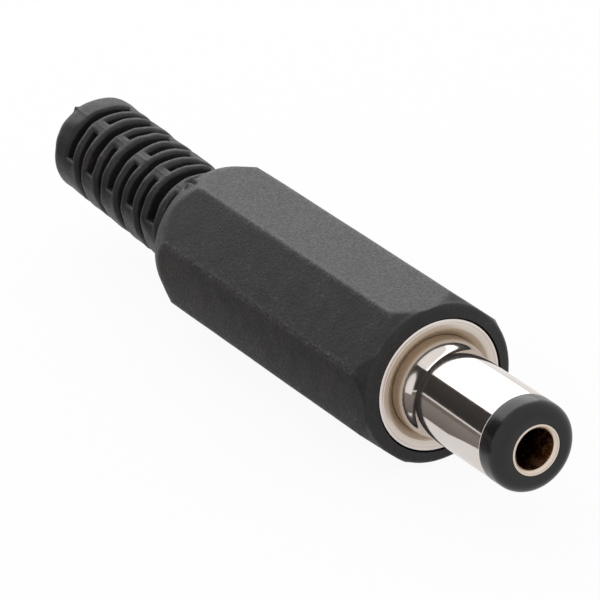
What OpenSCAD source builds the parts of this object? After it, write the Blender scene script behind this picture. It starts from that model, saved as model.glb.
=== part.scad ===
// DC barrel plug for soldering to a cord, with a screw-on cover that ends in a slotted strain relief.
//
// Millimetres. +X runs along the plug's axis towards the tip, +Z is up. The origin is on the axis, in
// the plane of the collar's front face, where the plug stops against a socket. The plug lies on one
// of the cover's eight flats. The cover slides off backwards, along -X, once it is unscrewed.

/* [Barrel] */
// Outer diameter of the barrel
barrel_d = 5.5; // [5.4:0.05:5.8]
// Wall of the barrel
barrel_wall = 0.4; // [0.3:0.05:0.5]
// Length from the collar's front face to the tip
plug_len = 10; // [9:0.25:12]
// Diameter of the barrel's foot, which is pressed into the collar
foot_d = 6; // [5.9:0.05:6.2]
// How far the foot stands out of the collar
foot_len = 1; // [0.6:0.1:1.4]
// Length of the cone between the foot and the barrel
foot_cone = 0.6; // [0.4:0.1:1]
// Depth of the foot in the collar
foot_seat = 3.5; // [2.5:0.25:4.5]

/* [Insulator] */
// Length of the insulating ring at the tip
tip_len = 1.65; // [1.2:0.05:2.2]
// Rounding of the tip's outer edge
tip_round = 0.75; // [0.4:0.05:1]

/* [Centre contact] */
// Bore that takes the socket's pin
pin_bore_d = 2.5; // [2.2:0.05:2.6]
// Wall of the contact tube
contact_wall = 0.32; // [0.25:0.01:0.35]
// Lead-in chamfer at the mouth of the bore
lead_in = 0.17; // [0.1:0.01:0.2]
// Depth of the bore from the tip
pin_bore_len = 11; // [8:0.5:13]
// Diameter of the contact's rear rivet
rivet_d = 1.6; // [1.2:0.1:2]
// Height of the rivet's head
rivet_head = 0.5; // [0.3:0.1:0.8]

/* [Collar] */
// Diameter of the collar's flange
flange_d = 8.15; // [8:0.05:8.3]
// Thickness of the flange
flange_t = 1; // [0.6:0.1:1.6]
// Rounding of the flange's bright rim
flange_round = 0.16; // [0.1:0.02:0.3]
// Countersink round the foot, in the flange's face
foot_sink = 0.2; // [0.1:0.02:0.3]
// Outer diameter of the thread that carries the cover
thread_d = 7.4; // [7.2:0.05:7.5]
// Length of the thread
thread_len = 6.5; // [5:0.25:7.5]

/* [Cover grip] */
// Width across opposite flats of the grip
grip_af = 9.7; // [9.65:0.05:10.4]
// Length of the grip, from the collar's front face to its flat rear end
grip_len = 25.4; // [23:0.2:28]
// How much the eight long edges are rounded off, from corner to crest
edge_break = 0.05; // [0.02:0.01:0.12]
// Diameter of the round nose
nose_d = 9.84; // [9.7:0.02:9.9]
// Radius of the rounded front edge
nose_round = 0.35; // [0.2:0.05:0.45]
// How far the front face falls back from the flange to the rounded edge
nose_fall = 0.1; // [0:0.02:0.2]
// Length of the nose, up to where the long edges have their full height
nose_len = 1.3; // [1:0.1:2]
// Diameter of the flat land at the rear end
rear_land_d = 7.7; // [7.4:0.1:8]
// Radius of the rounding at the rear end
rear_round = 0.85; // [0.6:0.05:1]
// Slope of the cone between the long edges and the rear rounding, in degrees
rear_slope = 18; // [12:1:30]
// Length of the bore that takes the thread, behind the flange
thread_bore_len = 7; // [6:0.25:8]
// Diameter of the cavity behind the thread
cavity_d = 7.2; // [7.1:0.05:7.4]
// Thickness of the cover's rear wall, along the axis
rear_wall = 2; // [1.5:0.1:3]

/* [Strain relief] */
// Outer diameter of the tail
tail_d = 6.45; // [6.2:0.05:6.6]
// Bore for the cord
cord_bore_d = 4.2; // [3.8:0.1:4.6]
// Pairs of ribs along the tail
pair_count = 5; // [3:1:6]
// Thickness of one rib
rib_t = 0.68; // [0.6:0.01:0.9]
// Width of the slot between the two ribs of a pair
slot_in = 0.48; // [0.4:0.01:0.7]
// Width of the slot between one pair and the next
slot_out = 0.71; // [0.6:0.01:1]
// Chamfer along the mouths of the slots
slot_lip = 0.12; // [0.05:0.01:0.16]
// Width of the bridges across the slots inside the pairs
bridge_in = 1.1; // [0.8:0.1:1.5]
// Width of the bridges across the slots between the pairs
bridge_out = 3.8; // [3:0.1:4]
// Length of the plain end of the tail
cap_len = 2.15; // [1.8:0.05:3]
// Rounding of the tail's rear edge
cap_round = 0.9; // [0.5:0.05:0.95]
// Lean of the flexible tail out of the plug's axis, in degrees
tail_lean = 3; // [0:0.2:3.4]
// Direction of the lean, in degrees round the axis from +Z towards +Y
lean_side = 8; // [0:1:90]

/* [Lugs and cord clamp] */
// Thickness of the sheet brass
sheet_t = 0.4; // [0.3:0.05:0.5]
// Diameter of the earth lug's ring
earth_ring_d = 6.6; // [6.4:0.1:6.8]
// Width of the earth lug's strip
strip_w = 2.8; // [2.4:0.1:3]
// Height of the strip's underside below the axis
strip_drop = 3.1; // [3:0.05:3.2]
// Length of the strip between the ring and the clamp
strip_len = 6.5; // [5:0.25:8]
// Length of the cord clamp
clamp_len = 3.5; // [2.5:0.25:4.5]
// Inner diameter of the cord clamp
clamp_bore_d = 4.4; // [4.2:0.1:4.6]
// Arc of the clamp's two ears, in degrees
clamp_arc = 230; // [200:5:260]
// Thickness of the insulating washer
washer_t = 0.8; // [0.5:0.1:1.2]
// Diameter of the centre lug's ring
tip_ring_d = 3.6; // [3.4:0.1:4]
// Width of the centre lug's tongue
tongue_w = 1.8; // [1.4:0.1:2.2]
// Length of the centre lug's tongue
tongue_len = 4.5; // [3.5:0.25:6]
// Diameter of the hole for the wire in each lug
wire_hole_d = 0.9; // [0.7:0.1:1.1]

/* [Fits] */
// Radial clearance of the cover on the collar
screw_gap = 0.05; // [0.03:0.01:0.1]
// Radial clearance of pieces pressed or slipped on one another
press_gap = 0.01; // [0:0.005:0.03]
// Gap between the insulating washer and the strip of the earth lug
washer_gap = 0.1; // [0.05:0.05:0.3]

/* [Hidden] */
$fn = 96;

// Radii
barrel_r = barrel_d / 2;
foot_r = foot_d / 2;
flange_r = flange_d / 2;
thread_r = thread_d / 2;
pin_bore_r = pin_bore_d / 2;
contact_r = pin_bore_r + contact_wall;
sleeve_r = barrel_r - barrel_wall - press_gap;
rivet_r = rivet_d / 2;
grip_corner_r = grip_af / 2 / cos(22.5);
grip_edge_r = grip_corner_r - edge_break;
cavity_r = cavity_d / 2;
tail_r = tail_d / 2;
cord_bore_r = cord_bore_d / 2;
nose_r = nose_d / 2;
rear_land_r = rear_land_d / 2;
washer_r = strip_drop - sheet_t - washer_gap;

// Stations along the axis, from front to rear
barrel_end_x = plug_len - tip_len;
thread_end_x = -flange_t - thread_len;
earth_x = thread_end_x - sheet_t;
washer_x = earth_x - washer_t;
centre_x = washer_x - sheet_t;
rivet_x = centre_x - rivet_head;
pin_bore_x = plug_len - pin_bore_len;
clamp_x = thread_end_x - strip_len;
thread_bore_x = -flange_t - thread_bore_len;
cavity_x = -grip_len + rear_wall;

// Lengths along the tail, from its root
pair_len = 2 * rib_t + slot_in;
pair_pitch = pair_len + slot_out;
tail_len = slot_out + pair_count * pair_pitch + cap_len;
// The mould's parting plane holds the axis and one long edge of the grip.
parting_deg = 22.5;

// A point of an arc of radius r about [x, y]
function on_arc(x, y, r, deg) = [x + r * cos(deg), y + r * sin(deg)];

// Points of a quarter of an ellipse, from [x + a, y] up to [x, y + b]
function quarter(x, y, a, b, steps = 10) =
    [for (i = [0:steps]) [x + a * cos(90 * i / steps), y + b * sin(90 * i / steps)]];

// A solid turned about the X axis from [x, radius] points
module turned(points) {
    rotate([0, 90, 0]) rotate_extrude()
        polygon([for (p = points) [p[1], p[0]]]);
}

// A round bar along X from x0 to x1
module bar(x0, x1, r) {
    translate([x0, 0, 0]) rotate([0, 90, 0]) cylinder(r = r, h = x1 - x0);
}

// A box along X from x0 to x1, centred on y and standing on z
module slab(x0, x1, width, z, height) {
    translate([x0, -width / 2, z]) cube([x1 - x0, width, height]);
}

// The grip's outside: an eight-sided bar, cut by a turned form that gives it the round nose,
// the rounded long edges and the rounded rear end
module grip_body() {
    // From the end of the long edges: a cone, then an arc down to the flat land
    rear_steps = 8;
    rear_arc = [for (i = [0:rear_steps]) on_arc(rear_round - grip_len, rear_land_r, rear_round,
        90 + rear_slope + (90 - rear_slope) * i / rear_steps)];
    edge_end_x = rear_arc[0][0] + (grip_edge_r - rear_arc[0][1]) / tan(rear_slope);
    intersection() {
        translate([-grip_len, 0, 0]) rotate([0, 90, 0]) rotate([0, 0, 22.5])
            cylinder(r = grip_corner_r, h = grip_len, $fn = 8);
        turned(concat(
            [[-grip_len, 0], [0, 0], [0, flange_r]],
            quarter(-nose_fall - nose_round, nose_r - nose_round, nose_round, nose_round),
            [[-nose_len, grip_edge_r], [edge_end_x, grip_edge_r]],
            rear_arc));
    }
}

// The tail's frame: from its root at the end of the grip, +X forward along the grip, with the
// mould's parting plane at +Z
module at_tail() {
    translate([-grip_len, 0, 0]) rotate([-lean_side, 0, 0]) rotate([0, tail_lean, 0])
        rotate([lean_side + parting_deg, 0, 0]) children();
}

// The tail's outside, with a plain rounded end
module tail_body() {
    turned(concat(
        [[rear_round, 0], [rear_round, tail_r]],
        [for (p = quarter(0, 0, 1, 1)) [-tail_len + cap_round * (1 - p[1]),
            tail_r - cap_round * (1 - p[0])]],
        [[-tail_len, 0]]));
}

// A slot across the tail at x, with chamfered lips, open on two sides, with a bridge left on
// the two others
module slot(x, width, bridge, turn) {
    reach = tail_r + 1;
    rotate([turn, 0, 0]) for (side = [0, 180])
        rotate([side, 0, 0]) intersection() {
            slab(x - width - 2, x + 2, 2 * reach, bridge / 2, reach);
            turned([
                [x, 0], [x, tail_r - slot_lip], [x + slot_lip + 1, reach],
                [x - width - slot_lip - 1, reach], [x - width, tail_r - slot_lip],
                [x - width, 0]]);
        }
}

module tail_slots() {
    for (i = [0:pair_count])
        slot(-i * pair_pitch, slot_out, bridge_out, 0);
    for (i = [0:pair_count - 1])
        slot(-i * pair_pitch - slot_out - rib_t, slot_in, bridge_in, 90);
}

// Cover: one moulding, an eight-sided grip with a threaded mouth, and the slotted tail
module cover() {
    color([0.16, 0.16, 0.17]) difference() {
        union() {
            grip_body();
            at_tail() difference() {
                tail_body();
                tail_slots();
            }
        }
        turned([
            [1, 0], [1, flange_r + screw_gap], [-flange_t, flange_r + screw_gap],
            [-flange_t, thread_r + screw_gap], [thread_bore_x, thread_r + screw_gap],
            [thread_bore_x, cavity_r], [cavity_x, cavity_r], [-grip_len, cord_bore_r],
            [-grip_len, 0]]);
        at_tail() bar(-tail_len - 1, rear_wall / 2, cord_bore_r);
    }
}

// Collar: turned, with a flange that closes the cover's mouth and a thread behind it
module collar() {
    color([0.8, 0.79, 0.76]) turned(concat(
        [[thread_end_x, sleeve_r + press_gap], [-foot_seat, sleeve_r + press_gap],
            [-foot_seat, foot_r + press_gap], [-foot_sink, foot_r + press_gap],
            [0, foot_r + foot_sink]],
        quarter(-flange_round, flange_r - flange_round, flange_round, flange_round, 6),
        [[-flange_t, flange_r], [-flange_t, thread_r], [thread_end_x, thread_r]]));
}

// Barrel: a turned tube with a thicker foot
module barrel() {
    color([0.86, 0.85, 0.83]) turned([
        [-foot_seat, barrel_r - barrel_wall], [barrel_end_x, barrel_r - barrel_wall],
        [barrel_end_x, barrel_r], [foot_len + foot_cone, barrel_r], [foot_len, foot_r],
        [-foot_seat, foot_r]]);
}

// Insulator: one moulding, a sleeve between the barrel and the contact with the ring at the tip
module insulator() {
    color([0.13, 0.13, 0.13]) turned(concat(
        [[earth_x, contact_r + press_gap], [plug_len, contact_r + press_gap]],
        quarter(plug_len - tip_round, barrel_r - tip_round, tip_round, tip_round),
        [[barrel_end_x, barrel_r], [barrel_end_x, sleeve_r], [earth_x, sleeve_r]]));
}

// Contact: the centre tube, closed at the rear, where its rivet holds the stack together
module contact() {
    head_r = rivet_r + rivet_head;
    color([0.85, 0.78, 0.62]) turned([
        [pin_bore_x - pin_bore_r / 2, 0], [pin_bore_x, pin_bore_r],
        [plug_len - lead_in, pin_bore_r], [plug_len, pin_bore_r + lead_in], [plug_len, contact_r],
        [earth_x, contact_r], [earth_x, rivet_r], [centre_x, rivet_r], [centre_x, head_r],
        [rivet_x, rivet_r], [rivet_x, 0]]);
}

// Washer: keeps the earth lug and the centre lug apart
module washer() {
    color([0.45, 0.25, 0.14]) difference() {
        bar(washer_x, earth_x, washer_r);
        bar(washer_x - 1, earth_x + 1, rivet_r + press_gap);
    }
}

// Earth lug: a stamped ring behind the collar, a strip with a hole for the wire, and two ears
// that are folded over the cord
module earth_lug() {
    clamp_r = clamp_bore_d / 2;
    clamp_z = clamp_r + sheet_t - strip_drop;
    ear_gap = (360 - clamp_arc) / 2;
    color([0.83, 0.8, 0.7]) difference() {
        union() {
            difference() {
                union() {
                    bar(earth_x, thread_end_x, earth_ring_d / 2);
                    slab(earth_x, thread_end_x, strip_w, -strip_drop, strip_drop);
                }
                bar(earth_x - 1, thread_end_x + 1, sleeve_r + press_gap);
            }
            slab(clamp_x - clamp_len, thread_end_x, strip_w, -strip_drop, sheet_t);
            translate([0, 0, clamp_z]) difference() {
                bar(clamp_x - clamp_len, clamp_x, clamp_r + sheet_t);
                translate([clamp_x - clamp_len - 1, 0, 0]) rotate([90, 0, 90])
                    linear_extrude(clamp_len + 2) polygon([[0, 0],
                        for (deg = [90 - ear_gap, 90, 90 + ear_gap]) on_arc(0, 0, 3 * clamp_r, deg)]);
            }
        }
        translate([0, 0, clamp_z]) bar(clamp_x - clamp_len - 1, clamp_x + 1, clamp_r);
        translate([clamp_x + strip_len / 3, 0, -strip_drop - 1])
            cylinder(d = wire_hole_d, h = sheet_t + 2);
    }
}

// Centre lug: a ring under the rivet's head, and a tongue with a hole for the wire
module centre_lug() {
    tongue_z = tip_ring_d / 2 - sheet_t;
    tongue_x = centre_x - tongue_len;
    color([0.83, 0.8, 0.7]) difference() {
        union() {
            bar(centre_x, washer_x, tip_ring_d / 2);
            slab(centre_x, washer_x, tongue_w, 0, tip_ring_d / 2);
            slab(tongue_x, washer_x, tongue_w, tongue_z, sheet_t);
        }
        bar(centre_x - 1, washer_x + 1, rivet_r + press_gap);
        translate([tongue_x + tongue_len / 4, 0, tongue_z - 1])
            cylinder(d = wire_hole_d, h = sheet_t + 2);
    }
}

cover();
collar();
barrel();
insulator();
contact();
washer();
earth_lug();
centre_lug();
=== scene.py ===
# %% [markdown]
# A straight solder plug for a 5.5 mm power lead, with its finishes, a floor and its light. The
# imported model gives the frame: every piece below is made in that frame, in metres, with +X along
# the plug's axis towards the tip. Sizes are written in millimetres, because that is how such a
# plug is drawn, and the constant MM turns them into metres.

# %% Load the frame
import math

import bpy
import bmesh
from mathutils import Matrix, Vector, noise


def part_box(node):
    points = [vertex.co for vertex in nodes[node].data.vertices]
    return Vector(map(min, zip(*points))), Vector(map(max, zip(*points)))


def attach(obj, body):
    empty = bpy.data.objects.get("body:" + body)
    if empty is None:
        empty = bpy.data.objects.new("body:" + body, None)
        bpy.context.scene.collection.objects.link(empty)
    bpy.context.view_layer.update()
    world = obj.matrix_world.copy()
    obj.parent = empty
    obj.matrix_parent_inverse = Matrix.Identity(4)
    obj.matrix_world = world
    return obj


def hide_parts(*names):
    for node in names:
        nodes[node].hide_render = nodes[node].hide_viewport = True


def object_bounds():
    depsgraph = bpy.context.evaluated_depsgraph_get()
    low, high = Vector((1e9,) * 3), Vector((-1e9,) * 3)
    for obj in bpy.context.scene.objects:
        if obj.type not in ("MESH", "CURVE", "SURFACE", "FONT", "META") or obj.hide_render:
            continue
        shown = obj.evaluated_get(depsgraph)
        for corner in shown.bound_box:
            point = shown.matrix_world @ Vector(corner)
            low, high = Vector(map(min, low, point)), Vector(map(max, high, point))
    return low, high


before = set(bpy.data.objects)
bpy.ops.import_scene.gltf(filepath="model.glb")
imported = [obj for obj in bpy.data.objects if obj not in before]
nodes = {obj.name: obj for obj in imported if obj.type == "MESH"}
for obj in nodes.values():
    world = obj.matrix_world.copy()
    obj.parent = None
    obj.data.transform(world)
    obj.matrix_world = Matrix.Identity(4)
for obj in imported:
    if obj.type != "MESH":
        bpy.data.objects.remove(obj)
cad_low, cad_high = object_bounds()
MM = 0.001


def span(node):
    """The lowest and highest corner of a node at rest, in millimetres."""
    low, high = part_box(node)
    return [v / MM for v in low], [v / MM for v in high]


# %% [markdown]
# Most pieces of a plug come off a lathe or out of a round mould, so they are rings of points
# round the X axis. A drawing gives each one as a section: a list of (x, radius) corners. Real
# corners are never sharp. A bevel modifier could round them all by one width, but each edge of a
# real piece has its own radius, so each corner of the section is cut back and bent by its own.

# %% Sections with softened corners


LONGEST_CUT = 0.45


def soften(points, sizes, steps=4):
    """A closed section whose corners are bent over the given size, one size for each corner."""
    out = []
    for i, corner in enumerate(points):
        if sizes[i] == 0:
            out.append(tuple(corner))
            continue
        here = Vector(corner)
        before, after = Vector(points[i - 1]) - here, Vector(points[(i + 1) % len(points)]) - here
        start, end = (here + way.normalized() * min(sizes[i], way.length * LONGEST_CUT)
                      for way in (before, after))
        for k in range(steps + 1):
            u = k / steps
            out.append(tuple(start * (1 - u) ** 2 + here * 2 * u * (1 - u) + end * u ** 2))
    return out


def between(start, end, shares):
    """Points on the straight line from start to end, at these shares of its length."""
    return [(start[0] + (end[0] - start[0]) * u, start[1] + (end[1] - start[1]) * u)
            for u in shares]


def arc(x, r, radius, first, last, steps):
    """Points of an arc about [x, r], between two angles in degrees."""
    turn = [math.radians(first + (last - first) * k / steps) for k in range(steps + 1)]
    return [(x + radius * math.cos(t), r + radius * math.sin(t)) for t in turn]


def round_point(x, r, angle):
    """A point in millimetres, with the angle in degrees from +Z towards -Y."""
    a = math.radians(angle)
    return Vector((x, -r * math.sin(a), r * math.cos(a)))


square = soften([(0, 1), (1, 1), (1, 2), (0, 2)], [0.2] * 4)
print("a square section with soft corners has", len(square), "points")

# %% [markdown]
# A mesh is then a list of rings with quads between them. A Screw modifier could turn a section
# too, but a list of points can also change its radius with the angle, and a thread needs that.
# One helper makes the object: normals point outwards, and an edge is sharp only where two faces
# really meet at an angle. Everything else is shaded smooth.

# %% From points to an object


def piece(name, points, faces, body, look, replaced, sharp=32):
    """A mesh object from points in millimetres, with edges past an angle of sharp degrees kept.

    It rides on a body and stands for the CAD nodes that it replaces."""
    mesh = bpy.data.meshes.new(name)
    mesh.from_pydata([Vector(p) * MM for p in points], [], faces)
    work = bmesh.new()
    work.from_mesh(mesh)
    bmesh.ops.remove_doubles(work, verts=work.verts, dist=1e-7)
    bmesh.ops.recalc_face_normals(work, faces=work.faces)
    work.to_mesh(mesh)
    work.free()
    mesh.shade_smooth()
    mesh.set_sharp_from_angle(angle=math.radians(sharp))
    mesh.materials.append(look)
    thing = bpy.data.objects.new(name, mesh)
    bpy.context.scene.collection.objects.link(thing)
    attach(thing, body)
    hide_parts(*replaced)
    print(name, "faces", len(mesh.polygons))


def lathe(section, sides, radius=None, closed=True):
    """Rings of a section turned round X. radius(x, r, angle) may change a point's radius."""
    points, faces = [], []
    for x, r in section:
        for j in range(sides):
            angle = 360 * j / sides
            points.append(round_point(x, radius(x, r, angle) if radius else r, angle))
    count = len(section)
    for i in range(count if closed else count - 1):
        for j in range(sides):
            k = (j + 1) % sides
            n = (i + 1) % count
            faces.append((i * sides + j, i * sides + k, n * sides + k, n * sides + j))
    return points, faces


print("turned in 12 steps it has", len(lathe(square, 12)[1]), "faces")

# %% [markdown]
# Materials come before the pieces. Colours are written as sRGB hex, the way a paint or plastic
# chart gives them. A shader works in linear light, where twice the number is twice the light, so
# one function turns each colour to linear.

# %% Colours


def linear(hex_colour):
    """An sRGB hex colour as linear RGBA."""
    parts = [int(hex_colour[i:i + 2], 16) / 255 for i in (1, 3, 5)]
    return [c / 12.92 if c <= 0.04045 else ((c + 0.055) / 1.055) ** 2.4 for c in parts] + [1]


print("nickel's grey in linear light", [round(c, 3) for c in linear("#dfd7d2")[:3]])

# %% [markdown]
# A material is a tree of nodes. It could be drawn by hand in the node editor. Here one small
# function adds a node with its settings and links, so that a material reads from top to bottom
# like a recipe. Two kinds of node come back often, and their inputs go by number. Map Range
# takes a value, the two numbers it runs between, and the two that they become (0 to 4). Mix, set
# to colours, takes a factor (0) and two colours (6 and 7), and its output 2 is the colour.

# %% Nodes
NOISE, RANGE, MIX, MATH = ("ShaderNodeTexNoise", "ShaderNodeMapRange", "ShaderNodeMix",
                           "ShaderNodeMath")


def add(tree, kind, inputs, out=None, **settings):
    """Adds a node and fills its inputs with links, numbers or hex colours.

    It gives the output that is asked for, or else all of them."""
    node = tree.nodes.new(kind)
    for key, value in settings.items():
        setattr(node, key, value)
    for key, value in inputs.items():
        if isinstance(value, bpy.types.NodeSocket):
            tree.links.new(value, node.inputs[key])
        else:
            node.inputs[key].default_value = linear(value) if isinstance(value, str) else value
    return node.outputs if out is None else node.outputs[out]


print("nodes that come back often", NOISE, RANGE, MIX, MATH)

# %% [markdown]
# Every material starts with the shader's main values and the object's own coordinates. Those are
# in metres and move with the piece, so a pattern stays in its place when the cover slides. A
# texture's Scale is the number of features in a metre, so it follows from one feature's size.

# %% Starting and finishing a material


def start_material(name, colour, metallic, roughness):
    """A new material, its node tree, its shader and the object's own coordinates in metres."""
    made = bpy.data.materials.new(name)
    made.use_nodes = True
    tree = made.node_tree
    shader = tree.nodes["Principled BSDF"]
    shader.inputs["Base Color"].default_value = linear(colour)
    shader.inputs["Metallic"].default_value = metallic
    shader.inputs["Roughness"].default_value = roughness
    return made, tree, shader, add(tree, "ShaderNodeTexCoord", {}, "Object")


def per_metre(millimetres):
    """The Scale of a texture whose features are this many millimetres across."""
    return 1 / (millimetres * MM)


def from_axis(tree, place):
    """The distance from the plug's axis, in metres: the length of a point without its x."""
    flat = add(tree, "ShaderNodeVectorMath", {0: place, 1: (0, 1, 1)}, "Vector",
               operation="MULTIPLY")
    return add(tree, "ShaderNodeVectorMath", {0: flat}, "Value", operation="LENGTH")


def finish_material(tree, shader, colour, roughness, normal):
    """Links a pattern's three results to the shader."""
    for socket, result in (("Base Color", colour), ("Roughness", roughness), ("Normal", normal)):
        tree.links.new(result, shader.inputs[socket])


print("features of half a millimetre have a Scale of", per_metre(0.5))

# %% [markdown]
# Cover: black ABS, injection moulded in a tool with a fine spark-eroded finish. Spark erosion
# leaves small craters of about 0.1 mm, which break up the gloss into a soft, slightly sparkling
# sheen. The craters are drawn at 0.16 mm, a little coarser than real, so that they show. They
# could be modelled, but bump from a noise looks the same from here and costs no faces. A second,
# slower noise is the unevenness of a thick moulding as it shrinks. Handling adds pale dust. The
# long edges get pale grains, which stand for rubbing and for a painted highlight along them: they
# are the only places more than 5.1 mm from the axis, so that distance finds them.

# %% Black ABS
CRATER, SHRINK, DUST = 0.16, 1.7, 0.2
EDGE_RUB_AND_HIGHLIGHT_FROM, EDGE_RUB_AND_HIGHLIGHT_FULL = 5.12, 5.22


def black_abs():
    """Spark-eroded black ABS with dust, and pale long edges: rubbing and a painted highlight."""
    made, tree, shader, place = start_material("black_abs_spark_eroded", "#1a1a1c", 0, 0.45)
    shader.inputs["Specular IOR Level"].default_value = 0.37
    craters = add(tree, NOISE, {"Vector": place, "Scale": per_metre(CRATER), "Detail": 2.5,
                                "Roughness": 0.6}, "Fac")
    waves = add(tree, NOISE, {"Vector": place, "Scale": per_metre(SHRINK), "Detail": 2.0}, "Fac")
    dust = add(tree, NOISE, {"Vector": place, "Scale": per_metre(DUST), "Detail": 4.0,
                             "Roughness": 0.75}, "Fac")
    shade = add(tree, RANGE, {0: waves, 1: 0.35, 2: 0.65, 3: 0, 4: 1}, "Result")
    mottled = add(tree, MIX, {0: shade, 6: "#17171a", 7: "#201d1d"}, 2, data_type="RGBA")
    patches = add(tree, RANGE, {0: waves, 1: 0.42, 2: 0.62, 3: 0.15, 4: 1}, "Result")
    specks = add(tree, RANGE, {0: dust, 1: 0.58, 2: 0.72, 3: 0, 4: 0.45}, "Result")
    lying = add(tree, MATH, {0: specks, 1: patches}, "Value", operation="MULTIPLY")
    dusty = add(tree, MIX, {0: lying, 6: mottled, 7: "#7f7869"}, 2, data_type="RGBA")
    # Painted highlight, together with rubbing: pale grains on the long edges, where the cover is
    # furthest from the axis.
    edge = add(tree, RANGE, {0: from_axis(tree, place), 1: EDGE_RUB_AND_HIGHLIGHT_FROM * MM, 2: EDGE_RUB_AND_HIGHLIGHT_FULL * MM,
                             3: 0, 4: 1}, "Result")
    grains = add(tree, RANGE, {0: dust, 1: 0.42, 2: 0.66, 3: 0, 4: 0.3}, "Result")
    rub_and_painted_highlight = add(tree, MATH, {0: edge, 1: grains}, "Value", operation="MULTIPLY")
    colour = add(tree, MIX, {0: rub_and_painted_highlight, 6: dusty, 7: "#7d7a78"}, 2, data_type="RGBA")
    rough = add(tree, RANGE, {0: craters, 1: 0.3, 2: 0.7, 3: 0.38, 4: 0.56}, "Result")
    slow = add(tree, "ShaderNodeBump", {"Height": waves, "Distance": 0.05 * MM,
                                        "Strength": 0.5}, "Normal")
    fine = add(tree, "ShaderNodeBump", {"Height": craters, "Normal": slow,
                                        "Distance": 0.02 * MM, "Strength": 0.8}, "Normal")
    finish_material(tree, shader, colour, rough, fine)
    return made


ABS = black_abs()
print(ABS.name, "craters", CRATER, "mm")

# %% [markdown]
# Collar and barrel: brass, turned on a lathe and plated with bright nickel. The plating is
# thin, so the tool's fine circular marks still show through it. They run round the axis on
# every surface. An anisotropic shader could stretch the highlights across them, but it shows no
# single mark. The sum of a point's x and its distance from the axis changes across the marks
# both on a cylinder and on a flat face, so one line of noise along that sum draws them.
# In the corner where the barrel leaves the collar the plate is rougher, and its colour is darker
# and yellower there: painted shade for that corner. That corner is a circle, and the distance from
# it is worked out from the same two numbers.

# %% Nickel plate on turned brass
TOOL_MARK, HAZE = 0.05, 3.2
CORNER_R, CORNER_FULL, CORNER_REACH = 3.1, 0.25, 0.95
CORNER_PAINTED_SHADE, CORNER_DULL = "#cbbfb1", 0.16


def nickel_plate(name, colour, shadow, roughness, mark_depth):
    """Nickel over turned brass. mark_depth is the relief of the tool marks, in millimetres."""
    made, tree, shader, place = start_material(name, colour, 1, roughness)
    along = add(tree, "ShaderNodeSeparateXYZ", {"Vector": place}, "X")
    away = from_axis(tree, place)
    across = add(tree, MATH, {0: along, 1: away}, "Value", operation="ADD")
    marks = add(tree, NOISE, {"W": across, "Scale": per_metre(TOOL_MARK), "Detail": 3.0}, "Fac",
                noise_dimensions="1D")
    haze = add(tree, NOISE, {"Vector": place, "Scale": per_metre(HAZE), "Detail": 2.0,
                             "Roughness": 0.5}, "Fac")
    above = add(tree, MATH, {0: away, 1: CORNER_R * MM}, "Value", operation="SUBTRACT")
    gap = add(tree, "ShaderNodeCombineXYZ", {"X": along, "Y": above}, "Vector")
    reach = add(tree, "ShaderNodeVectorMath", {0: gap}, "Value", operation="LENGTH")
    corner = add(tree, RANGE, {0: reach, 1: CORNER_FULL * MM, 2: CORNER_REACH * MM,
                               3: 1, 4: 0}, "Result")
    shade = add(tree, RANGE, {0: haze, 1: 0.4, 2: 0.75, 3: 0, 4: 1}, "Result")
    clean = add(tree, MIX, {0: shade, 6: colour, 7: shadow}, 2, data_type="RGBA")
    # Painted shade: the plate's colour turns darker and yellower in the corner by the barrel's
    # foot.
    shaded_in_corner = add(tree, MIX, {0: corner, 6: clean, 7: CORNER_PAINTED_SHADE}, 2, data_type="RGBA")
    hazy = add(tree, RANGE, {0: haze, 1: 0.3, 2: 0.75, 3: roughness * 0.85,
                             4: roughness * 1.25}, "Result")
    dull = add(tree, MATH, {0: corner, 1: CORNER_DULL}, "Value", operation="MULTIPLY")
    rough = add(tree, MATH, {0: dull, 1: hazy}, "Value", operation="ADD")
    grooves = add(tree, "ShaderNodeBump", {"Height": marks, "Distance": mark_depth * MM,
                                           "Strength": 0.35}, "Normal")
    finish_material(tree, shader, shaded_in_corner, rough, grooves)
    return made


COLLAR_PLATE = nickel_plate("nickel_plate_turned", "#dfd7d2", "#d3c9c2", 0.13, 0.003)
BARREL_PLATE = nickel_plate("nickel_plate_polished", "#ddd5cf", "#d6cdc6", 0.08, 0.001)
print(COLLAR_PLATE.name, BARREL_PLATE.name)

# %% [markdown]
# Insulator: a black nylon moulding. Nylon flows well, so it copies the polished tool and has a
# soft gloss, with shallow flow marks and a few tiny pits. The ABS material could serve for it,
# but a moulding from a polished tool has none of the craters, and its reflections are clearer.

# %% Black nylon
FLOW, PIT = 0.7, 0.12


def black_nylon():
    """Black nylon from a polished mould."""
    made, tree, shader, place = start_material("black_nylon_moulded", "#111112", 0, 0.3)
    shader.inputs["IOR"].default_value = 1.53
    shader.inputs["Specular IOR Level"].default_value = 0.36
    flow = add(tree, NOISE, {"Vector": place, "Scale": per_metre(FLOW), "Detail": 3.0,
                             "Distortion": 0.6}, "Fac")
    pits = add(tree, NOISE, {"Vector": place, "Scale": per_metre(PIT), "Detail": 2.0}, "Fac")
    colour = add(tree, MIX, {0: flow, 6: "#0e0e0f", 7: "#191818"}, 2, data_type="RGBA")
    rough = add(tree, RANGE, {0: flow, 1: 0.3, 2: 0.7, 3: 0.2, 4: 0.32}, "Result")
    relief = add(tree, "ShaderNodeBump", {"Height": pits, "Distance": 0.006 * MM,
                                          "Strength": 0.6}, "Normal")
    finish_material(tree, shader, colour, rough, relief)
    return made


NYLON = black_nylon()
print(NYLON.name)

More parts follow.
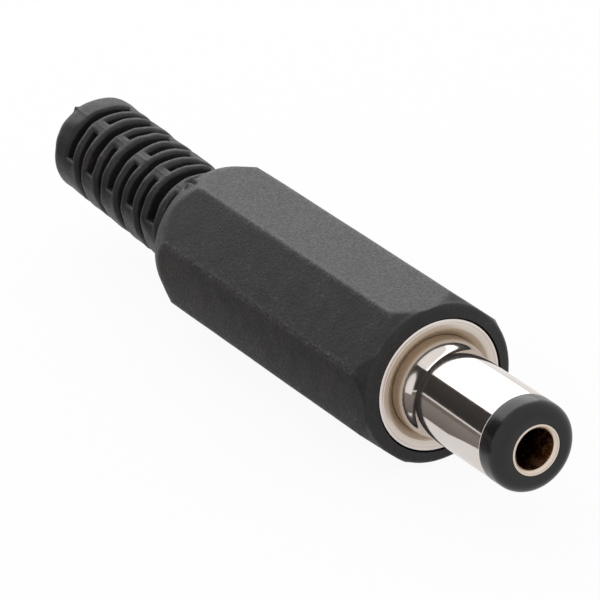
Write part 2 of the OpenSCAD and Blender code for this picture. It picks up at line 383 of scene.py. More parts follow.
# %% [markdown]
# Centre contact: a drawn brass tube. Its rim carries a thin nickel flash, which wears off inside
# the bore, so the brass shows there. That brass band also stands for the orange-brown glint in the
# bore, a painted highlight. Deeper in, the colour turns dull brown: painted shade deep in the
# bore. It could be three materials on three bands of faces, but wear and shade have no clean
# borders. So one material changes along x, from the rim into the bore, and noise moves each border
# a little.

# %% Worn plating on brass, with painted shade in the bore
WEAR, BORDER = 0.5, 0.25
PLATE_ENDS, BORE_SHADE_STARTS = (1.1, 0.5), (2.6, 1.2)


def worn_and_shaded_brass(rim_x):
    """Brass with a plated rim at rim_x that wears off into the bore, and painted shade deeper in.
    """
    made, tree, shader, place = start_material("brass_tube_worn_plate_and_bore_shade", "#d8b273", 1, 0.22)
    along = add(tree, "ShaderNodeSeparateXYZ", {"Vector": place}, "X")
    wear = add(tree, NOISE, {"Vector": place, "Scale": per_metre(WEAR), "Detail": 4.0}, "Fac")
    shift = add(tree, RANGE, {0: wear, 1: 0.3, 2: 0.7, 3: -BORDER * MM, 4: BORDER * MM},
                "Result")
    border = add(tree, MATH, {0: shift, 1: along}, "Value", operation="ADD")
    # Painted shade deep in the bore: past the brass band, which also stands for a painted glint,
    # the colour turns dull brown.
    bright, plated = (add(tree, RANGE, {0: border, 1: (rim_x - deep) * MM,
                                        2: (rim_x - shallow) * MM, 3: 0, 4: 1}, "Result")
                      for deep, shallow in (BORE_SHADE_STARTS, PLATE_ENDS))
    brass_glint_and_bore_shade = add(tree, MIX, {0: bright, 6: "#8f806e", 7: "#bd965c"}, 2, data_type="RGBA")
    colour = add(tree, MIX, {0: plated, 6: brass_glint_and_bore_shade, 7: "#d8cabd"}, 2, data_type="RGBA")
    rough = add(tree, RANGE, {0: wear, 1: 0.3, 2: 0.7, 3: 0.16, 4: 0.32}, "Result")
    tree.links.new(colour, shader.inputs["Base Color"])
    tree.links.new(rough, shader.inputs["Roughness"])
    return made


tip_x = span("contact")[1][0]
WORN_AND_SHADED_BRASS = worn_and_shaded_brass(tip_x)
print(WORN_AND_SHADED_BRASS.name, "rim at", round(tip_x, 2), "mm")

# %% [markdown]
# Lugs: sheet brass, dipped in tin. Tin is greyer and duller than nickel, and the dip leaves it
# slightly lumpy, which one noise gives to the colour, the roughness and the relief together.
# Washer: brown resin-bonded paper, punched from sheet. Its fibres lie in the sheet's plane. They
# could be hair, but they are finer than a hair, so a noise squeezed along x is enough.

# %% Tinned brass and resin-bonded paper
LUMP, FIBRE, SQUEEZE = 0.9, 0.25, (6.0, 1.0, 1.0)


def tinned_brass():
    """Sheet brass with a lumpy coat of tin."""
    made, tree, shader, place = start_material("brass_sheet_tinned", "#cdc7b8", 1, 0.3)
    lumps = add(tree, NOISE, {"Vector": place, "Scale": per_metre(LUMP), "Detail": 4.0,
                              "Roughness": 0.6}, "Fac")
    shade = add(tree, RANGE, {0: lumps, 1: 0.35, 2: 0.7, 3: 0, 4: 1}, "Result")
    colour = add(tree, MIX, {0: shade, 6: "#d2cdc0", 7: "#b3aa92"}, 2, data_type="RGBA")
    rough = add(tree, RANGE, {0: lumps, 1: 0.3, 2: 0.7, 3: 0.22, 4: 0.42}, "Result")
    relief = add(tree, "ShaderNodeBump", {"Height": lumps, "Distance": 0.02 * MM,
                                          "Strength": 0.7}, "Normal")
    finish_material(tree, shader, colour, rough, relief)
    return made


def resin_paper():
    """Brown board of paper and resin, with fibres along the sheet."""
    made, tree, shader, place = start_material("resin_bonded_paper", "#6a3d24", 0, 0.55)
    shader.inputs["IOR"].default_value = 1.55
    squeezed = add(tree, "ShaderNodeMapping", {"Vector": place, "Scale": SQUEEZE}, "Vector")
    fibres = add(tree, NOISE, {"Vector": squeezed, "Scale": per_metre(FIBRE), "Detail": 5.0,
                               "Distortion": 1.2}, "Fac")
    shade = add(tree, RANGE, {0: fibres, 1: 0.3, 2: 0.7, 3: 0, 4: 1}, "Result")
    colour = add(tree, MIX, {0: shade, 6: "#55301c", 7: "#84522f"}, 2, data_type="RGBA")
    relief = add(tree, "ShaderNodeBump", {"Height": fibres, "Distance": 0.02 * MM,
                                          "Strength": 0.6}, "Normal")
    tree.links.new(colour, shader.inputs["Base Color"])
    tree.links.new(relief, shader.inputs["Normal"])
    return made


TINNED = tinned_brass()
RESIN_PAPER = resin_paper()
print(TINNED.name, RESIN_PAPER.name)

# %% [markdown]
# The cover is one moulding: an eight-sided grip, a round nose and rear end, and a slotted tail
# that bends with the cord. It could be the CAD solid with a bevel, but its slots have soft
# lips, its long edges are barely rounded and its flats are slightly uneven, and each needs a
# different treatment. So it is built as rings of points, like a lathe part whose radius also
# depends on the angle. The angles below are close together at the eight edges and at the ends
# of the slots, where the shape changes fast.

# %% Angles of the cover's rings
SIDES = 8
SIDE = 360 / SIDES
SEAM = SIDE / 2
FLAT_R = span("cover")[1][1]
TAIL_R, CORD_R = 3.225, 2.1
WEB_W, BRIDGE_W = 1.1, 3.8
WEB_HALF = math.degrees(math.asin(WEB_W / 2 / TAIL_R))
MOUTH_HALF = math.degrees(math.acos(BRIDGE_W / 2 / TAIL_R))
CLOSEST = 0.45


def apart(first, second):
    """How many degrees two angles are apart."""
    return abs((first - second + 180) % 360 - 180)


near_edge = [0, 0.35, 0.8, 1.5, 3, 5, 8, 11.5, 15, 18.75, SIDE / 2]
angles = {round((SEAM + SIDE * k + way * off) % 360, 3)
          for k in range(SIDES) for off in near_edge for way in (1, -1)}
slot_lines = {round((SEAM + half_turn + way * (end + outwards * lip)) % 360, 3)
              for half_turn in (0, 180) for way in (1, -1) for lip in (0, 0.6, 1.6, 3.2, 5.8)
              for end, outwards in ((WEB_HALF, -1), (MOUTH_HALF, 1))}
angles = sorted(slot_lines | {a for a in angles
                              if min(apart(a, line) for line in slot_lines) > CLOSEST})
COUNT = len(angles)
print("angles round the cover", COUNT)

# %% [markdown]
# The grip. It could be an eight-sided prism, cut by a turned shape with a boolean modifier. Here
# its radius is the smaller of two: the flat's, which grows towards the edges, and the turned
# profile's, which rounds the nose, the long edges and the rear end. A soft minimum joins the two
# without a crease. A little noise, a hundredth of a millimetre, keeps the flats
# from looking machined, and the mould's halves left a little torn flash at the rear corner.

# %% Radius of the grip
GRIP_LEN = 25.4
EDGE_BREAK = 0.02
EDGE_R = FLAT_R / math.cos(math.radians(SIDE / 2)) - EDGE_BREAK
MOUTH_R = 4.125
NOSE_R, NOSE_ROUND, NOSE_FALL, NOSE_LEN = 4.92, 0.35, 0.1, 1.3
REAR_LAND_R, REAR_ROUND, REAR_SLOPE, REAR_FACE_R = 3.85, 0.85, 18, 3.6
SOFT = 0.008
UNEVEN, UNEVEN_SPAN = 0.014, 3.0
FLASH, FLASH_SPAN, FLASH_GRAIN = 0.45, 0.6, 0.3


def flat_radius(angle):
    """The radius of the flat at an angle, on an eight-sided bar."""
    off = (angle + SIDE / 2) % SIDE - SIDE / 2
    return FLAT_R / math.cos(math.radians(off))


def grip_radius(x, r, angle):
    """The lower of the turned radius r and the flat's, with flash and a little unevenness."""
    low = min(r, flat_radius(angle))
    gap = abs(r - flat_radius(angle))
    joined = low - SOFT * math.log(1 + math.exp(-gap / SOFT))
    here = round_point(x, joined, angle)
    off = math.radians(apart(angle, SEAM)) * joined
    from_rear = x + GRIP_LEN - 0.7
    flash = FLASH * math.exp(-(off / FLASH_SPAN) ** 2 - (from_rear / FLASH_SPAN) ** 2)
    return (joined + flash * (noise.noise(here / FLASH_GRAIN) - 0.2)
            + UNEVEN * noise.noise(here / UNEVEN_SPAN) * min(1, max(0, -x / NOSE_LEN)))


print("the long edges are", round(EDGE_R, 2), "mm from the axis")

# %% [markdown]
# The grip's rings follow the turned profile from the mouth to the rear: a small lip, the round
# nose, a short cone, the long edges, the fall at the rear and its own round corner. Rings every
# half millimetre would be simpler, but most would lie where nothing changes, and too few where
# the corners bend.

# %% Rings of the grip
rear_arc = arc(REAR_ROUND - GRIP_LEN, REAR_LAND_R, REAR_ROUND, 90 + REAR_SLOPE, 180, 8)
edge_end = rear_arc[0][0] + (EDGE_R - rear_arc[0][1]) / math.tan(math.radians(REAR_SLOPE))
nose_arc = arc(-NOSE_FALL - NOSE_ROUND, NOSE_R - NOSE_ROUND, NOSE_ROUND, 0, 90, 7)
nose_cone = between(nose_arc[-1], (-NOSE_LEN, EDGE_R), (0.25, 0.5, 0.75))
evenly = [0.1 + 0.8 * k / 17 for k in range(18)]
long_edge = between((-NOSE_LEN, EDGE_R), (edge_end, EDGE_R),
                    [0, 0.02, 0.05] + evenly + [0.95, 0.98, 1])
rear_fall = between((edge_end, EDGE_R), rear_arc[0], (0.15, 0.3, 0.45, 0.6, 0.75, 0.9))
mouth_lip = [(-0.02, MOUTH_R), (-0.005, MOUTH_R + 0.015), (-0.005, MOUTH_R + 0.04)]
grip_section = (mouth_lip + nose_arc + nose_cone + long_edge + rear_fall + rear_arc
                + [(-GRIP_LEN, REAR_FACE_R)])
rings = [[round_point(x, grip_radius(x, r, a) if x < -NOSE_FALL else r, a) for a in angles]
         for x, r in grip_section]
print("grip rings", len(rings), "edges end at", round(edge_end, 2))

# %% [markdown]
# The strain relief. Two kinds of slot take turns along the tail: a wide one that is open on the
# seam side, and a narrow one a quarter turn round that leaves a small web on the seam. Each
# slot goes through to the bore, so the tail bends easily in every direction. Boolean modifiers
# could cut the slots, but would leave ragged faces at the lips. Here a slot is a gap in the
# outer and the inner skin, with walls between the two, and the lips are rounded by lowering the
# skin close to a slot, over the distance to its nearest edge.

# %% Slots of the tail
RIB, NARROW, WIDE, PAIRS = 0.68, 0.48, 0.71, 5
SLOT_PITCH = 2 * RIB + NARROW + WIDE
CAP_LEN, CAP_ROUND = 2.15, 0.9
TAIL_LEN = WIDE + PAIRS * SLOT_PITCH + CAP_LEN
LIP, LIP_WIDTH = 0.22, 0.33
slots = []
for i in range(PAIRS + 1):
    slots.append((-i * SLOT_PITCH, WIDE, 0, MOUTH_HALF))
for i in range(PAIRS):
    slots.append((-i * SLOT_PITCH - WIDE - RIB, NARROW, 90, 90 - WEB_HALF))


def away_from_slot(t, angle):
    """How far a point of the tail's skin is from the nearest slot, in millimetres."""
    best = LIP_WIDTH
    for start, width, middle, half in slots:
        beside = max(t - start, start - width - t, 0)
        if beside >= best:
            continue
        for side in (0, 180):
            off = apart(angle, SEAM + middle + side)
            along = max(off - half, 0) * math.radians(1) * TAIL_R
            best = min(best, math.hypot(beside, along))
    return best


def in_slot(t, angle):
    """Whether a point of the tail's skin is in a slot, on either side of the tail."""
    return any(start - width < t < start
               and min(apart(angle, SEAM + middle + side) for side in (0, 180)) < half
               for start, width, middle, half in slots)


print("slots", len(slots), "tail", round(TAIL_LEN, 2), "mm")

# %% [markdown]
# The tail leans a little, because the moulding was still warm and soft when it left the tool.
# Its rings turn to the leaning direction over the first half millimetre, so that the first one
# still lies flat on the grip's end. The two halves of the mould leave a thin raised seam, and
# the plastic entered at the end of the tail: the gate was broken off there and left a nub. The
# soft ribs never come out quite straight or level, so two slow noises bend and sink them.

# %% Lean and radius of the tail
LEAN, LEAN_SIDE, LEAN_FROM = 3.0, 8.0, 0.5
SEAM_RISE, SEAM_WIDTH = 0.03, 0.09
NUB_RISE, NUB_SPAN = 0.2, 0.2
WARP, SINK, SINK_SPAN = 0.16, 0.07, 0.9


def lean_matrix(degrees):
    """A turn by these degrees, towards the side that the tail leans to."""
    return (Matrix.Rotation(math.radians(-LEAN_SIDE), 3, "X")
            @ Matrix.Rotation(math.radians(degrees), 3, "Y")
            @ Matrix.Rotation(math.radians(LEAN_SIDE), 3, "X"))


def tail_point(t, r, angle):
    """A point of the leaning tail, t millimetres along it: 0 at the grip, less to the rear."""
    around = round_point(t / 1.6, 0.9, angle)
    t += WARP * noise.noise(around) * min(1, -t, TAIL_LEN + t)
    centre = Vector((-GRIP_LEN, 0, 0)) + lean_matrix(LEAN) @ Vector((t, 0, 0))
    return centre + lean_matrix(LEAN * min(1, -t / LEAN_FROM)) @ round_point(0, r, angle)


def tail_radius(t, r, angle):
    """The tail's radius with soft lips, the seam, the gate's nub and sunk ribs."""
    near = 1 - away_from_slot(t, angle) / LIP_WIDTH
    lowered = r - LIP * (1 - math.sqrt(1 - near ** 2))
    off = min(apart(angle, SEAM), apart(angle, SEAM + 180))
    ragged = 1 + 0.9 * noise.noise(Vector((t / 0.4, 0.5, 0.5)))
    seam = SEAM_RISE * ragged * math.exp(-(math.radians(off) * r / SEAM_WIDTH) ** 2)
    off = apart(angle, SEAM)
    back = t + TAIL_LEN - 0.3 * CAP_ROUND
    nub = NUB_RISE * math.exp(-((math.radians(off) * r) ** 2 + back ** 2) / NUB_SPAN ** 2)
    sunk = SINK * (noise.noise(round_point(t, r, angle) / SINK_SPAN) - 0.3) * min(1, -t / 0.6)
    return lowered + sunk + seam * (1 - near) + nub


print("the tail ends at", [round(v, 2) for v in tail_point(-TAIL_LEN, 0, 0)])

# %% [markdown]
# Each place along the tail that gets a ring is a station: every end of a slot, and a few more
# close to it, where the lip bends. Inside a slot there is no skin, so no station is needed. The
# bore is plain and has rings at the ends of the slots alone.

# %% Rings of the tail


def between_slots(t):
    """Whether a place along the tail is in a rib or at the end of a slot."""
    return t <= 0 and not any(start - width < t < start for start, width, _, _ in slots)


slot_ends = sorted({round(t, 4) for start, width, _, _ in slots
                    for t in (start, start - width)}, reverse=True)
stations = set(slot_ends)
for end in slot_ends:
    stations |= {round(end + way * lip, 4)
                 for lip in (0.03, 0.08, 0.15, 0.23, LIP_WIDTH) for way in (1, -1)}
cap_start = CAP_ROUND - TAIL_LEN
stations = sorted((t for t in stations if t > cap_start
                   and (t in slot_ends or between_slots(t))), reverse=True)
stations += [stations[-1] + (cap_start - stations[-1]) * u for u in (0.3, 0.6, 1)]
outer = [(t, TAIL_R) for t in stations]
outer += arc(cap_start, TAIL_R - CAP_ROUND, CAP_ROUND, 90, 180, 12)[1:]
outer += [(-TAIL_LEN, CORD_R + 0.1), (-TAIL_LEN + 0.03, CORD_R + 0.03),
          (-TAIL_LEN + 0.1, CORD_R)]
outer_first = len(rings)
rings += [[tail_point(t, tail_radius(t, r, a) if r > CORD_R + 0.2 else r, a) for a in angles]
          for t, r in outer]
inner_first = len(rings)
inner = sorted(slot_ends)
rings += [[tail_point(t, CORD_R, a) for a in angles] for t in inner]
print("tail rings", len(outer) + len(inner))

# %% [markdown]
# The inside of the cover, from the cord's bore to the mouth. It could be plain, as it is hidden
# until the cover is drawn off, but then its thread shows in the mouth. A bump would be flat at
# the rim, so the thread is real: a helical groove outside the bore. Its crests clear the
# collar's, so the two threads don't cross in any pose.

# %% Inside of the cover and its thread
THREAD_PITCH = 0.75
CAVITY_R, CAVITY_X = 3.6, -23.4
THREAD_R, THREAD_END = 3.75, -8.0
COVER_GROOVE = 0.16
COVER_STEPS = 9
FLANGE_T = 1.0


def thread_wave(x, angle):
    """From 0 on a crest to 1 in a root: flat crests, straight sides and a narrow flat root."""
    phase = (x / THREAD_PITCH + angle / 360) % 1
    return min(1, max(0, 1.25 - abs(phase - 0.5) * 4))


def faded(x, first, last):
    """0 at both ends of a thread and 1 from one pitch inside them."""
    return min(1, max(0, (first - x) / THREAD_PITCH), max(0, (x - last) / THREAD_PITCH))


def inside_radius(x, r, angle):
    """The radius of the inside, with the groove cut outwards into the thread's bore."""
    if r != THREAD_R:
        return r
    return r + COVER_GROOVE * thread_wave(x, angle) * faded(x, -FLANGE_T, THREAD_END)


steps = int((-FLANGE_T - THREAD_END) / THREAD_PITCH * COVER_STEPS)
inside = ([(-GRIP_LEN + 0.2, CORD_R + 0.1), (CAVITY_X - 0.2, CAVITY_R - 0.12),
           (CAVITY_X, CAVITY_R), (-16.0, CAVITY_R), (THREAD_END - 0.02, CAVITY_R)]
          + between((THREAD_END + 0.02, THREAD_R), (-FLANGE_T - 0.02, THREAD_R),
                    [k / steps for k in range(steps + 1)])
          + [(-FLANGE_T, THREAD_R + 0.03), (-FLANGE_T, MOUTH_R - 0.03),
             (-FLANGE_T + 0.03, MOUTH_R), (-0.3, MOUTH_R)])
rings += [[round_point(x, inside_radius(x, r, a), a) for a in angles] for x, r in inside]
print("rings inside", len(inside))

# %% [markdown]
# The skin between the rings is a closed loop, from the mouth over the outside to the end of the
# tail and back through the bore. A Solidify modifier could give the walls their thickness, but
# it follows one skin, and here the two have shapes of their own. Cells that lie in a slot are
# left out, and the slot's four walls join the outer skin to the inner one.

# %% Skin and slot walls


def at(ring, column):
    """The number of a point: where it is in the list of all points."""
    return ring * COUNT + column % COUNT


def halfway(first, second):
    """The middle of two numbers."""
    return (first + second) / 2


column_middle = [halfway(a, b if b > a else b + 360)
                 for a, b in zip(angles, angles[1:] + angles[:1])]
outer_t = {outer_first + i: t for i, (t, _) in enumerate(outer) if t > cap_start}
inner_t = {inner_first + i: t for i, t in enumerate(inner)}
cover_faces = []
for i in range(len(rings)):
    n = (i + 1) % len(rings)
    skins = [skin for skin in (outer_t, inner_t) if i in skin and n in skin]
    for j in range(COUNT):
        if not any(in_slot(halfway(skin[i], skin[n]), column_middle[j]) for skin in skins):
            cover_faces.append((at(i, j), at(i, j + 1), at(n, j + 1), at(n, j)))

outer_ring = {round(t, 4): i for i, t in outer_t.items()}
inner_ring = {round(t, 4): i for i, t in inner_t.items()}
for start, width, _, _ in slots:
    o1, o2 = (outer_ring[round(t, 4)] for t in (start, start - width))
    n1, n2 = (inner_ring[round(t, 4)] for t in (start, start - width))
    open_here = [in_slot(start - width / 2, m) for m in column_middle]
    for j in range(COUNT):
        if open_here[j]:
            cover_faces += [(at(o, j), at(o, j + 1), at(n, j + 1), at(n, j))
                            for o, n in ((o1, n1), (o2, n2))]
        if open_here[j] != open_here[j - 1]:
            cover_faces.append((at(o1, j), at(o2, j), at(n2, j), at(n1, j)))
piece("cover_moulding", [p for ring in rings for p in ring], cover_faces,
      "cover", ABS, ["cover"])

# %% [markdown]
# The collar is turned from brass bar: a thin flange that closes the cover's mouth, and behind
# it the thread that the cover screws on. The thread could be a stack of rings or a bump, but its
# outline shows when the cover is off, so a real helical groove is cut: the lathe's radius
# changes with the angle. The flange's front face has a small countersink round the barrel.

# %% Collar
FLANGE_R = span("collar")[1][1]
COLLAR_BACK = span("collar")[0][0]
SLEEVE_R, FOOT_R, FOOT_SEAT = 2.35, 3.01, -3.5
COLLAR_CREST, COLLAR_DEPTH, COLLAR_STEPS, RUN_OUT = 3.7, 0.36, 10, 0.5
RIM_ROUND = 0.16
steps = int((-FLANGE_T - COLLAR_BACK) / THREAD_PITCH * COLLAR_STEPS)
thread = between((-FLANGE_T - 0.02, COLLAR_CREST), (COLLAR_BACK + 0.02, COLLAR_CREST),
                 [k / steps for k in range(steps + 1)])
rim = arc(-RIM_ROUND, FLANGE_R - RIM_ROUND, RIM_ROUND, 0, 90, 6)
collar_section = (soften([(COLLAR_BACK, COLLAR_CREST - 0.3), (COLLAR_BACK, SLEEVE_R),
                          (FOOT_SEAT, SLEEVE_R), (FOOT_SEAT, FOOT_R)],
                         [0.05, 0.1, 0.03, 0.03])
                  + [(-0.34, FOOT_R), (-0.31, FOOT_R + 0.02), (-0.07, FOOT_R + 0.4),
                     (-0.05, FOOT_R + 0.44), (-0.04, FOOT_R + 0.48), (0, FLANGE_R - 0.3),
                     (-0.02, FLANGE_R - 0.27), (-0.02, FLANGE_R - 0.24),
                     (0, FLANGE_R - 0.21)] + rim
                  + [(-FLANGE_T + 0.05, FLANGE_R), (-FLANGE_T, FLANGE_R - 0.05),
                     (-FLANGE_T, COLLAR_CREST + 0.03)] + thread)


def cut_thread(x, r, angle):
    """The radius of the collar, with the groove cut into the crest of its thread."""
    if r != COLLAR_CREST:
        return r
    return r - COLLAR_DEPTH * thread_wave(x, angle) * faded(x, -FLANGE_T, COLLAR_BACK - RUN_OUT)


points, faces = lathe(collar_section, 128, cut_thread)
piece("collar_turned", points, faces, "plug", COLLAR_PLATE, ["collar"])

# %% [markdown]
# The barrel is a turned tube with a thicker foot, pressed into the collar. The short cone
# between the two has lost its edges to the polishing before plating. Two bent corners would do,
# but each would start and end a reflection with a line. One smooth curve from the barrel's
# radius to the foot's lets the reflections run into each other.

# %% Barrel
barrel_low, barrel_high = span("barrel")
BARREL_R, BARREL_WALL, FOOT_OUT, FOOT_CONE = 2.75, 0.4, 1.0, 0.6
barrel_section = soften(
    [(barrel_low[0], barrel_high[1]), (barrel_low[0], BARREL_R - BARREL_WALL),
     (barrel_high[0], BARREL_R - BARREL_WALL), (barrel_high[0], BARREL_R)],
    [0.08, 0.03, 0.03, 0.04], 5)
sweep_start, sweep_len, sweep_steps = FOOT_OUT + FOOT_CONE + 0.15, FOOT_CONE + 0.85, 24
for k in range(sweep_steps + 1):
    u = k / sweep_steps
    barrel_section.append((sweep_start - u * sweep_len,
                           BARREL_R + (barrel_high[1] - BARREL_R) * (3 - 2 * u) * u * u))
points, faces = lathe(barrel_section, 160)
piece("barrel_turned", points, faces, "plug", BARREL_PLATE, ["barrel"])

# %% [markdown]
# The insulator is one moulding: the black ring at the tip, and the sleeve behind it that keeps
# the barrel and the centre contact apart. Only the ring shows. Its outer edge is a quarter
# round, so that the plug finds its way into a socket. It could be two rings, but as one section
# it has the same walls as the real moulding, and there is nothing to line up.

# %% Insulator
sleeve_low = span("insulator")[0]
TIP_ROUND, TIP_LEN, CONTACT_HOLE = 0.75, 1.65, 1.58
tip_corner = arc(tip_x - TIP_ROUND, BARREL_R - TIP_ROUND, TIP_ROUND, 0, 90, 14)
nylon_section = (soften([(sleeve_low[0], SLEEVE_R - 0.01), (sleeve_low[0], CONTACT_HOLE),
                         (tip_x, CONTACT_HOLE), (tip_x, BARREL_R - TIP_ROUND)],
                        [0.05, 0.05, 0.05, 0], 3)[:-1] + tip_corner
                 + soften([(tip_x - 1.2, BARREL_R), (tip_x - TIP_LEN, BARREL_R),
                           (tip_x - TIP_LEN, SLEEVE_R - 0.01), (tip_x - 3, SLEEVE_R - 0.01)],
                          [0, 0.05, 0.02, 0], 3))
points, faces = lathe(nylon_section, 160)
piece("insulator_moulding", points, faces, "plug", NYLON, ["insulator"])

# %% [markdown]
# The centre contact is a thin tube that takes the socket's pin. Its rim is flared into a small
# lead-in. The bore is closed at the rear, where a rivet head holds the lugs. Tube and rivet are
# one piece of metal, so they are one open section that starts and ends on the axis.

# %% Centre contact
contact_low, contact_high = span("contact")
PIN_R, LEAD_IN, BORE_END = 1.25, 0.17, -1.0
RIVET_R, RIVET_HEAD, SHEET_T = 0.8, 0.5, 0.4
centre_x = span("centre_lug")[1][0] - SHEET_T
outside = soften([(contact_high[0], PIN_R + LEAD_IN), (contact_high[0], contact_high[1]),
                  (sleeve_low[0], contact_high[1]), (sleeve_low[0], RIVET_R),
                  (centre_x, RIVET_R), (centre_x, RIVET_R + RIVET_HEAD),
                  (contact_low[0], RIVET_R)],
                 [0.03, 0.06, 0.05, 0.03, 0.03, 0.12, 0.25], 4)
contact_section = ([(BORE_END - 0.6, 0.001), (BORE_END - 0.1, PIN_R - 0.1), (BORE_END, PIN_R),
                    (contact_high[0] - LEAD_IN - 0.05, PIN_R),
                    (contact_high[0] - LEAD_IN + 0.03, PIN_R + 0.03)]
                   + outside + [(contact_low[0], 0.001)])
points, faces = lathe(contact_section, 96, closed=False)
piece("contact_tube", points, faces, "plug", WORN_AND_SHADED_BRASS, ["contact"])

# %% [markdown]
# The lugs and the washer are inside the cover and show only when it is drawn off. Their CAD
# solids have the right shapes, so they stay, with a narrow bevel that gives the stamped edges
# their rolled-over look.

# %% Lugs and washer
for name, look, width in (("earth_lug", TINNED, 0.06), ("centre_lug", TINNED, 0.06),
                          ("washer", RESIN_PAPER, 0.05)):
    part = nodes[name]
    part.data.materials.clear()
    part.data.materials.append(look)
    bevel = part.modifiers.new("rolled_edge", "BEVEL")
    bevel.width = width * MM
    bevel.segments = 3
    bevel.limit_method = "ANGLE"
    bevel.angle_limit = math.radians(40)
    print(name, "gets", look.name)

# %% [markdown]
# The camera looks down on the tip from in front. A short lens from close by would show the same
# things, but the tip would look huge. A long lens from further away lets the plug narrow only a
# little towards its tail.

# %% Camera
camera_data = bpy.data.cameras.new("camera")
camera_data.lens = 300
camera_data.sensor_width = 36
camera_data.clip_start = 10 * MM
camera = bpy.data.objects.new("camera", camera_data)
bpy.context.scene.collection.objects.link(camera)
AIM = Vector((-14.9, -0.4, -0.2)) * MM
AZIMUTH, ELEVATION, ROLL, DISTANCE = 61.7, 27.09, 6.18, 0.297
turn = (Matrix.Rotation(math.radians(AZIMUTH), 4, "Z")
        @ Matrix.Rotation(math.radians(90 - ELEVATION), 4, "X")
        @ Matrix.Rotation(math.radians(-ROLL), 4, "Z"))
camera.matrix_world = Matrix.Translation(AIM) @ turn @ Matrix.Translation((0, 0, DISTANCE))
bpy.context.scene.camera = camera
print("camera at", [round(v / MM, 1) for v in camera.matrix_world.translation])

# %% [markdown]
# The floor is white paper. To the camera it is almost evenly white, and a part of the real
# shading is kept, so that the plug still throws a faint shadow. Brighter lamps could make the
# paper white, but they would bleach the plug as well, so the paper itself glows for the camera,
# and a little less for the metal that mirrors it.

# %% Paper floor


def quad_stage(name, corners, look):
    """A flat four-cornered stage piece, from corners in millimetres."""
    mesh = bpy.data.meshes.new(name)
    mesh.from_pydata([Vector(c) * MM for c in corners], [], [(0, 1, 2, 3)])
    mesh.materials.append(look)
    thing = bpy.data.objects.new(name, mesh)
    bpy.context.scene.collection.objects.link(thing)
    return thing


def seen_directly(tree, to_camera, to_mirror):
    """One share for rays from the camera and another for those that metal or glass sends on."""
    rays = add(tree, "ShaderNodeLightPath", {})
    sent_on = add(tree, MATH, {0: rays["Is Glossy Ray"], 1: rays["Is Transmission Ray"]},
                  "Value", operation="MAXIMUM")
    second = add(tree, MATH, {0: sent_on, 1: to_mirror}, "Value", operation="MULTIPLY")
    first = add(tree, MATH, {0: rays["Is Camera Ray"], 1: to_camera}, "Value",
                operation="MULTIPLY")
    return add(tree, MATH, {0: first, 1: second}, "Value", operation="MAXIMUM")


WHITE = (1, 1, 1, 1)
PAPER_GLOW, PAPER_MIRRORED, PAPER_HALF = 0.93, 0.75, 900
paper, tree, shader, _ = start_material("white_paper", "#f4f4f4", 0, 0.9)
glow = add(tree, "ShaderNodeEmission", {"Color": WHITE, "Strength": 1.0}, "Emission")
mixed = add(tree, "ShaderNodeMixShader", {
    0: seen_directly(tree, PAPER_GLOW, PAPER_MIRRORED), 1: shader.outputs["BSDF"], 2: glow},
    "Shader")
tree.links.new(mixed, tree.nodes["Material Output"].inputs["Surface"])
floor_z = cad_low[2] / MM - 0.02
quad_stage("floor", [(x * PAPER_HALF, y * PAPER_HALF, floor_z)
                     for x, y in ((-1, -1), (1, -1), (1, 1), (-1, 1))], paper)

print("floor at", round(floor_z, 2), "mm")

# %% [markdown]
# Dark cards stand and lie beside the plug, as they would in a studio: polished metal looks like
# metal only when it has something dark to reflect. They could be dark patches in the world, but a
# card close by looks different from each piece, as a real one does. They show in reflections
# alone. The two brown cards, the low one and the one that lies flat, are painted shade: they stand
# for the paper where it lies in shade, as the metal and the black plastic mirror it. The thin gap
# between the tall card and the low one becomes a bright line on the barrel.

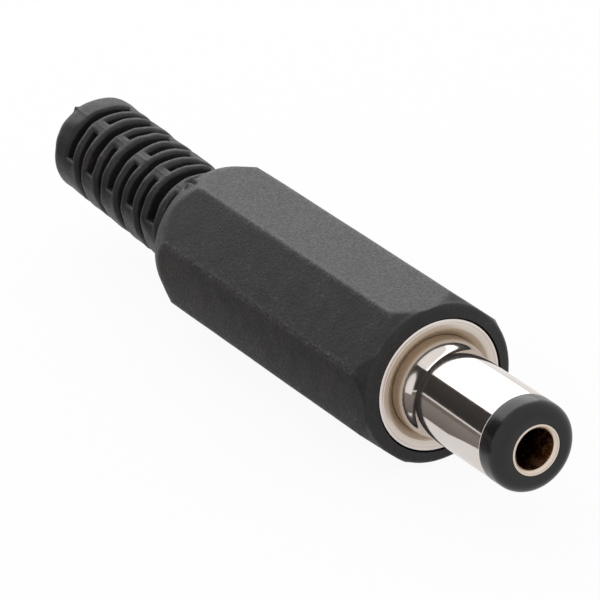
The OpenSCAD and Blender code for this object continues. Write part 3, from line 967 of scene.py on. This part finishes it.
# %% Cards
CHARCOAL = start_material("charcoal_card", "#363331", 0, 0.9)[0]
FLOOR_SHADE_BROWN = start_material("floor_shade_brown_card", "#827b77", 0, 0.9)[0]
NEAR, FAR = (-180, -70), (-90, -180)
TABLE_X, TABLE_Y, TABLE_Z = (-180, -2), (-7.8, -180), floor_z + 0.1
CARDS = {
    "tall_card": (CHARCOAL, [(*NEAR, 25), (*FAR, 25), (*FAR, 260), (*NEAR, 124)]),
    # Painted shade: the brown cards, seen only in reflections, stand for the shaded paper beside
    # the plug.
    "low_floor_shade_card": (FLOOR_SHADE_BROWN, [(*NEAR, floor_z), (*FAR, floor_z), (*FAR, 17), (*NEAR, 17)]),
    "table_floor_shade_card": (FLOOR_SHADE_BROWN, [(TABLE_X[0], TABLE_Y[0], TABLE_Z), (TABLE_X[1], TABLE_Y[0], TABLE_Z),
                           (TABLE_X[1], TABLE_Y[1], TABLE_Z), (TABLE_X[0], TABLE_Y[1], TABLE_Z)]),
}
for name, (paint, corners) in CARDS.items():
    card = quad_stage(name, corners, paint)
    card.visible_camera = False
    card.visible_diffuse = False
    card.visible_shadow = False
print("cards", list(CARDS))

# %% [markdown]
# Light: a white surround, and one large softbox behind and above the plug on the far side. The
# surround alone would light the plug from everywhere and leave it flat. The softbox gives the
# top flat its sheen and the barrel its broad white band. The surround is full white to the
# camera and in mirrors, and sends three quarters of that to the surfaces that it lights.

# %% World and softbox
SURROUND = 0.75
world = bpy.data.worlds.new("studio")
bpy.context.scene.world = world
world.use_nodes = True
tree = world.node_tree
backdrop = tree.nodes["Background"]
backdrop.inputs["Color"].default_value = WHITE
backdrop.inputs["Strength"].default_value = 1.0
surround = add(tree, "ShaderNodeBackground", {"Color": WHITE, "Strength": SURROUND},
               "Background")
choice = add(tree, "ShaderNodeMixShader", {
    0: seen_directly(tree, 1.0, 1.0), 1: surround, 2: backdrop.outputs["Background"]}, "Shader")
tree.links.new(choice, tree.nodes["World Output"].inputs["Surface"])


def softbox(name, direction, distance, size, watts):
    """A lamp, so wide and so high, that faces the plug's middle from a direction."""
    data = bpy.data.lights.new(name, "AREA")
    data.shape = "RECTANGLE"
    data.size, data.size_y = size
    data.energy = watts
    lamp = bpy.data.objects.new(name, data)
    bpy.context.scene.collection.objects.link(lamp)
    towards = Vector(direction).normalized()
    lamp.location = AIM + towards * distance
    lamp.rotation_mode = "QUATERNION"
    lamp.rotation_quaternion = (-towards).to_track_quat("-Z", "Y")
    print(name, size, "m at", [round(v, 3) for v in lamp.location])


softbox("softbox_rear", (-0.784, 0.11, 0.55), 0.5, (0.8, 0.42), 1.53)
bpy.context.scene.view_settings.view_transform = "Standard"
